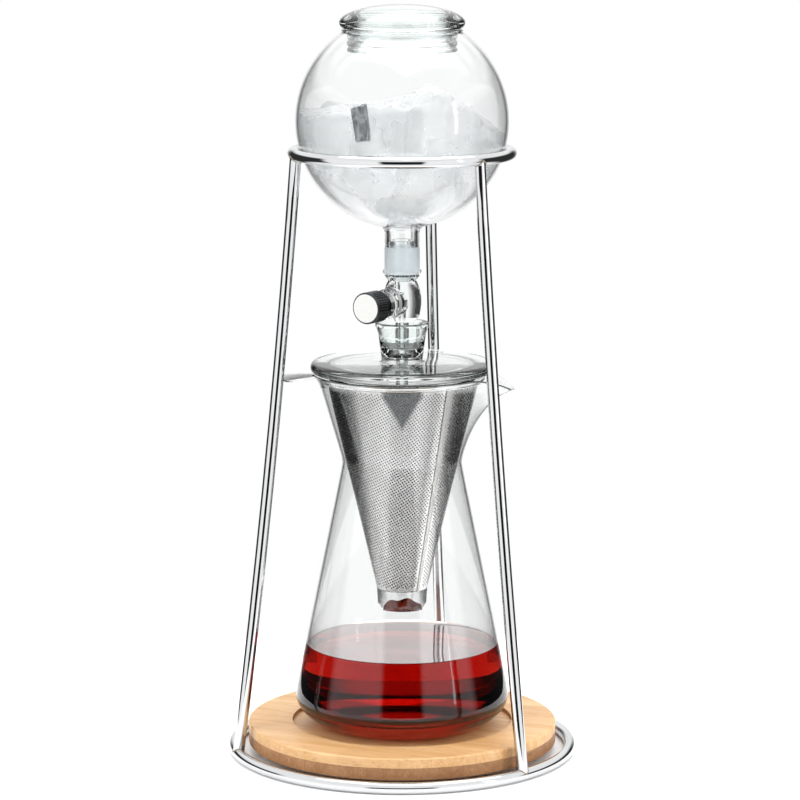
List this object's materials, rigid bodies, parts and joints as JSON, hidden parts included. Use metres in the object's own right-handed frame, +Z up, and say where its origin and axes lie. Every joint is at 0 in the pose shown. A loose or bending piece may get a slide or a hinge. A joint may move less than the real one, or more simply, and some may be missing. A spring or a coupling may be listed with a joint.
{
  "type": "cold drip coffee tower",
  "caption": "Bent-rod stand with a wooden base board, holding a glass globe with a needle valve above a carafe with a drip lid and a cone filter.",
  "frame": {"origin": "on the table, at the centre of the base ring", "axes": "+Z up through the axis of the carafe and the globe; -Y is the front, where the valve's knob points, a third of a right angle to the left; +X is the right"},
  "size_m": [0.209, 0.209, 0.4461],
  "materials": {
    "steel_rod": "polished round rod, bent and welded",
    "pale_bamboo": "fine grain, oiled",
    "dark_bamboo": "carbonised, fine grain, oiled",
    "foot_rubber": "matte",
    "carafe_glass": "clear blown borosilicate",
    "lid_glass": "clear pressed glass with a fire-polished edge",
    "globe_glass": "clear blown borosilicate, ground at the joint",
    "valve_glass": "clear solid glass, ground at the joint",
    "filter_steel": "photo-etched sheet, satin",
    "filter_trim": "pressed sheet, bright",
    "ptfe": "turned",
    "valve_metal": "turned",
    "seal_rubber": "matte",
    "knob_metal": "dark anodised, fluted",
    "knob_face": "fine turned"
  },
  "bodies": {
    "stand": {"base_ring": "steel_rod", "upper_ring": "steel_rod", "left_leg": "steel_rod", "right_leg": "steel_rod", "rear_leg": "steel_rod", "board_bottom_ply": "dark_bamboo", "board_top_ply": "pale_bamboo", "board_feet": "foot_rubber"},
    "carafe": {"carafe": "carafe_glass"},
    "filter": {"filter_rim": "filter_trim", "filter_outer_cone": "filter_steel", "filter_inner_mesh": "filter_steel", "filter_base_cap": "filter_trim", "filter_seam": "filter_trim"},
    "carafe_lid": {"carafe_lid": "lid_glass"},
    "globe": {"globe": "globe_glass", "globe_socket": "globe_glass"},
    "globe_lid": {"globe_lid": "lid_glass"},
    "valve": {"valve_body": "valve_glass", "valve_bush": "ptfe", "gland_nut": "valve_metal"},
    "needle_seal": {"needle_seal": "seal_rubber"},
    "needle": {"valve_needle": "valve_metal", "valve_knob": "knob_metal", "knob_cap": "knob_face", "knob_set_screw": "valve_metal"}
  },
  "joints": [
    {"name": "carafe_lift", "type": "slide", "parent": "stand", "child": "carafe", "axis": [0, 0, 1], "range_m": [0, 0.06]},
    {"name": "filter_lift", "type": "slide", "parent": "carafe", "child": "filter", "axis": [0, 0, 1], "range_m": [0, 0.14]},
    {"name": "carafe_lid_lift", "type": "slide", "parent": "filter", "child": "carafe_lid", "axis": [0, 0, 1], "range_m": [0, 0.03]},
    {"name": "globe_lift", "type": "slide", "parent": "carafe_lid", "child": "globe", "axis": [0, 0, 1], "range_m": [0, 0.125]},
    {"name": "globe_lid_lift", "type": "slide", "parent": "globe", "child": "globe_lid", "axis": [0, 0, 1], "range_m": [0, 0.06]},
    {"name": "valve_swivel", "type": "hinge", "parent": "globe", "child": "valve", "pos_m": [0, 0, 0.298], "axis": [0, 0, 1], "continuous": true},
    {"name": "needle_travel", "type": "slide", "parent": "valve", "child": "needle_seal", "axis": [-0.5446, -0.8387, 0], "range_m": [0, 0.002]},
    {"name": "knob_turn", "type": "hinge", "parent": "needle_seal", "child": "needle", "pos_m": [0, 0, 0.2718], "axis": [-0.5446, -0.8387, 0], "range_deg": [0, 720]}
  ],
  "couplings": [
    {"joint": "needle_travel", "follows": "knob_turn", "m_per_rad": 0.00015915}
  ]
}
